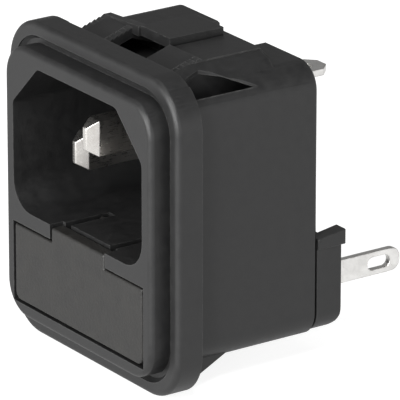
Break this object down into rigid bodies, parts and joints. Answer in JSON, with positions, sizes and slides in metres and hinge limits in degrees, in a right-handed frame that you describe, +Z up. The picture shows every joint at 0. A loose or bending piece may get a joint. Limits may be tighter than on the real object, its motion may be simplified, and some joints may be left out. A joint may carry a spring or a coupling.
{
  "type": "c14 panel inlet socket",
  "caption": "Snap-in C14 appliance inlet socket with a fuse drawer under the socket and solder tags at the back.",
  "frame": {"origin": "centre of the plane of the flange's rear face, which seats on the panel", "axes": "+X right seen from the front, +Y into the panel towards the terminals, +Z up"},
  "size_m": [0.0318, 0.0343, 0.0354],
  "materials": {
    "moulding": "satin moulded thermoplastic",
    "drawer_moulding": "satin moulded thermoplastic",
    "nickel_plate": "nickel plated brass",
    "tag_plate": "tin plated brass strip",
    "spring_bronze": "spring bronze",
    "fuse_glass": "clear tube",
    "fuse_wire": "tinned wire",
    "fuse_cap": "nickel plated cap"
  },
  "bodies": {
    "root": {"housing": "moulding", "rear_cover": "moulding", "earth_pin": "nickel_plate", "line_pin": "nickel_plate", "neutral_pin": "nickel_plate", "earth_terminal": "tag_plate", "line_terminal": "tag_plate", "neutral_terminal": "tag_plate", "line_link": "tag_plate", "fuse_clip_left": "spring_bronze", "fuse_clip_right": "spring_bronze"},
    "drawer": {"fuse_drawer": "drawer_moulding", "fuse_glass": "fuse_glass", "fuse_wire": "fuse_wire", "fuse_cap_left": "fuse_cap", "fuse_cap_right": "fuse_cap", "spare_fuse_glass": "fuse_glass", "spare_fuse_wire": "fuse_wire", "spare_fuse_cap_left": "fuse_cap", "spare_fuse_cap_right": "fuse_cap"}
  },
  "joints": [
    {"name": "drawer_slide", "type": "slide", "parent": "root", "child": "drawer", "axis": [0, -1, 0], "range_m": [0, 0.013]}
  ]
}
